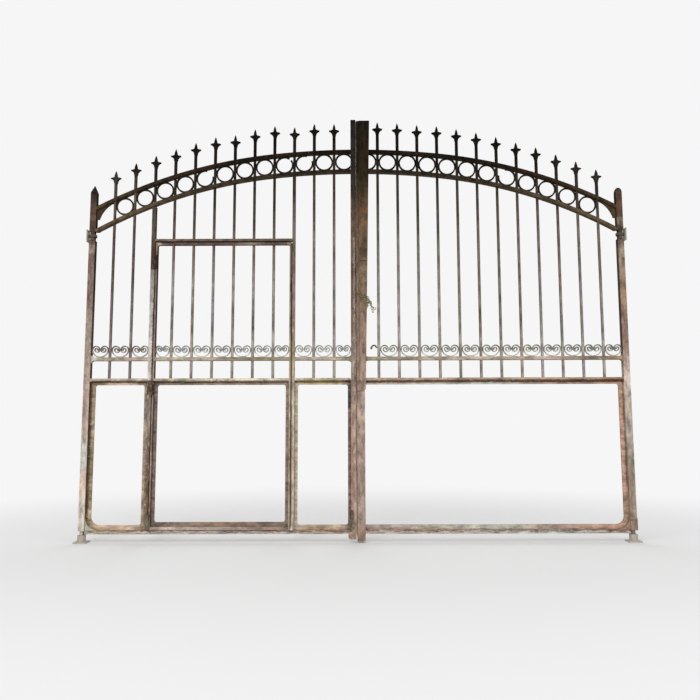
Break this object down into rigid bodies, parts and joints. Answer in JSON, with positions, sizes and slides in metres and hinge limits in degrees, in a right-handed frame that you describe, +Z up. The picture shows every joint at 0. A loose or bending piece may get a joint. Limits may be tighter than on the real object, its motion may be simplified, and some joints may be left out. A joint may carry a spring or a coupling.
{
  "type": "wrought iron driveway gate",
  "caption": "Pair of arched wrought iron driveway gates with spear-topped bars, ring frieze, scroll band, open lower panels and a foot gate in one leaf.",
  "frame": {"origin": "centre of the left foot step's underside, on the left leaf's turning axis", "axes": "+X along the closed gate from the left heel to the right heel, +Y away from the side with the cover strip, +Z up"},
  "size_m": [3.688, 0.084, 2.8695],
  "materials": {
    "weathered_iron": "matte",
    "fittings_iron": "matte",
    "chain_steel": "satin",
    "hinge_iron": "matte"
  },
  "bodies": {
    "pier_hardware": {"foot_steps": "hinge_iron", "top_collars": "hinge_iron"},
    "left_leaf": {"left_heel_stile": "weathered_iron", "left_meeting_stile": "weathered_iron", "left_upper_arch_rail": "weathered_iron", "left_lower_arch_rail": "weathered_iron", "left_rings": "weathered_iron", "left_heel_side_bars": "weathered_iron", "left_bars_over_foot_gate": "weathered_iron", "left_meeting_side_bars": "weathered_iron", "foot_gate_posts": "weathered_iron", "foot_gate_stops": "weathered_iron", "foot_gate_lintel": "weathered_iron", "left_mid_rails": "weathered_iron", "left_scroll_rails": "weathered_iron", "left_scrolls": "weathered_iron", "left_bottom_rail": "weathered_iron", "left_panel_frames": "weathered_iron", "left_brackets": "weathered_iron", "foot_bolt": "fittings_iron", "foot_gate_hinges_fixed": "fittings_iron"},
    "foot_gate": {"foot_gate_hinges_moving": "fittings_iron", "foot_gate_stiles": "weathered_iron", "foot_gate_top_rail": "weathered_iron", "foot_gate_scroll_rail": "weathered_iron", "foot_gate_mid_rail": "weathered_iron", "foot_gate_bottom_rail": "weathered_iron", "foot_gate_bars": "weathered_iron", "foot_gate_scrolls": "weathered_iron", "foot_gate_panel_frame": "weathered_iron"},
    "right_leaf": {"right_heel_stile": "weathered_iron", "right_meeting_stile": "weathered_iron", "cover_strip": "weathered_iron", "right_upper_arch_rail": "weathered_iron", "right_lower_arch_rail": "weathered_iron", "right_rings": "weathered_iron", "right_bars": "weathered_iron", "right_mid_rail": "weathered_iron", "right_scroll_rail": "weathered_iron", "right_scrolls": "weathered_iron", "right_bottom_rail": "weathered_iron", "right_panel_frame": "weathered_iron", "right_brackets": "weathered_iron", "lock_plate": "fittings_iron", "chain": "chain_steel"}
  },
  "joints": [
    {"name": "left_leaf_hinge", "type": "hinge", "parent": "pier_hardware", "child": "left_leaf", "pos_m": [0, 0, 2.0515], "axis": [0, 0, 1], "range_deg": [0, 90]},
    {"name": "right_leaf_hinge", "type": "hinge", "parent": "pier_hardware", "child": "right_leaf", "pos_m": [3.604, 0, 2.0515], "axis": [0, 0, -1], "range_deg": [0, 90]},
    {"name": "foot_gate_hinge", "type": "hinge", "parent": "left_leaf", "child": "foot_gate", "pos_m": [0.4343, -0.023, 1.012], "axis": [0, 0, -1], "range_deg": [0, 90]}
  ]
}
